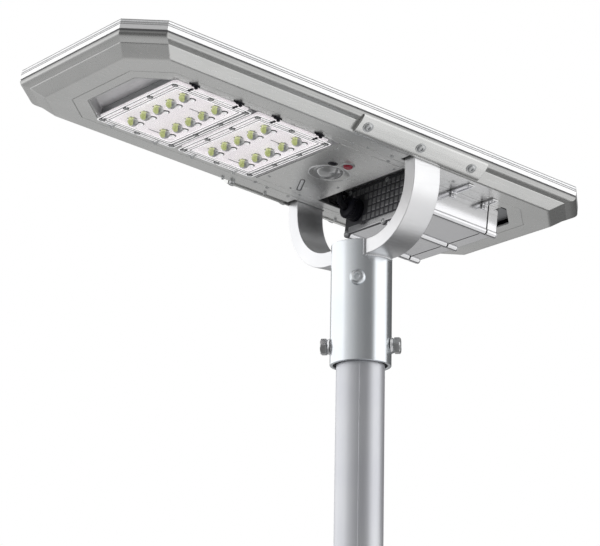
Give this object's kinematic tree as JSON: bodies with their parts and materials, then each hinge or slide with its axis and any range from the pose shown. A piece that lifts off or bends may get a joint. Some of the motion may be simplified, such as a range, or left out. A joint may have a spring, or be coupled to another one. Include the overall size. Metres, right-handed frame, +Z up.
{
  "type": "solar street lamp",
  "caption": "Octagonal solar street lamp head with LED modules, battery box and motion sensor, on a tilting U yoke and clamped pole sleeve.",
  "frame": {"origin": "on the pole's axis, at the cut lower end of the pole section", "axes": "+Z up along the pole, +X along the head towards the battery end, +Y across the head"},
  "size_m": [0.6969, 0.2992, 0.5484],
  "materials": {
    "pole_paint": "satin silver-grey powder coat",
    "yoke_aluminium": "satin anodised flat bar",
    "head_aluminium": "satin cast aluminium",
    "plate_aluminium": "satin sheet",
    "frame_white": "white powder coat",
    "frame_aluminium": "anodised",
    "box_aluminium": "anodised extrusion",
    "end_plate_metal": "dark grey cast",
    "fastener_steel": "zinc-plated steel",
    "inner_aluminium": "mill finish",
    "black_rubber": "matte",
    "black_plastic": "fine texture",
    "clear_lens": "clear moulded optics",
    "panel_glass": "tempered",
    "solar_cells": "blue-black silicon",
    "white_sheet": "polymer film",
    "led_board": "white solder mask",
    "circuit_board": "green solder mask",
    "sensor_lens": "milky",
    "red_button": "moulded",
    "pack_wrap": "shrink film"
  },
  "bodies": {
    "pole": {"pole_tube": "pole_paint"},
    "bracket": {"sleeve_tube": "pole_paint", "yoke": "yoke_aluminium", "clamp_boss_left": "fastener_steel", "clamp_boss_right": "fastener_steel", "clamp_bolt_left": "fastener_steel", "clamp_bolt_right": "fastener_steel", "sleeve_screw": "fastener_steel"},
    "head": {"battery_board": "circuit_board", "battery_bracket_far": "fastener_steel", "battery_bracket_near_left": "fastener_steel", "battery_bracket_near_right": "fastener_steel", "battery_connector": "black_plastic", "battery_end_cap": "box_aluminium", "battery_end_plate": "end_plate_metal", "battery_gasket_left": "black_rubber", "battery_gasket_right": "black_rubber", "battery_lead": "black_rubber", "battery_pack": "pack_wrap", "battery_shell": "box_aluminium", "button_bezel": "fastener_steel", "button_switch": "black_plastic", "charge_controller": "black_plastic", "cover_screw_far_1": "fastener_steel", "cover_screw_far_2": "fastener_steel", "cover_screw_far_3": "fastener_steel", "cover_screw_near_1": "fastener_steel", "cover_screw_near_2": "fastener_steel", "cover_screw_near_3": "fastener_steel", "junction_box": "black_plastic", "led_board_left": "led_board", "led_board_right": "led_board", "led_driver": "inner_aluminium", "led_heat_sink_left": "plate_aluminium", "led_heat_sink_right": "plate_aluminium", "led_tray": "head_aluminium", "lens_plate_left": "clear_lens", "lens_plate_right": "clear_lens", "light_sensor_window": "black_plastic", "motion_sensor_lens": "sensor_lens", "pan_shell": "head_aluminium", "panel_backsheet": "white_sheet", "panel_frame_lower": "frame_white", "panel_frame_upper": "frame_aluminium", "panel_glass": "panel_glass", "panel_lead": "black_rubber", "panel_seal": "black_rubber", "pivot_block_far": "inner_aluminium", "pivot_block_near": "inner_aluminium", "pivot_bolt_far": "fastener_steel", "pivot_bolt_near": "fastener_steel", "pivot_nut_far": "fastener_steel", "pivot_nut_near": "fastener_steel", "sensor_board": "circuit_board", "sensor_plate": "plate_aluminium", "side_cover_far": "head_aluminium", "side_cover_near": "head_aluminium", "solar_cell_layer": "solar_cells", "status_insert": "inner_aluminium"},
    "button": {"power_button": "red_button"}
  },
  "joints": [
    {"name": "sleeve_swivel", "type": "hinge", "parent": "pole", "child": "bracket", "pos_m": [0, 0, 0.3], "axis": [0, 0, 1], "continuous": true},
    {"name": "head_tilt", "type": "hinge", "parent": "bracket", "child": "head", "pos_m": [0, 0, 0.4796], "axis": [0, 1, 0], "range_deg": [-16.5, 3.5]},
    {"name": "button_press", "type": "slide", "parent": "head", "child": "button", "axis": [0.1132, 0, 0.9936], "range_m": [0, 0.002], "stiffness_N_per_m": 500, "springref_m": -0.002}
  ]
}
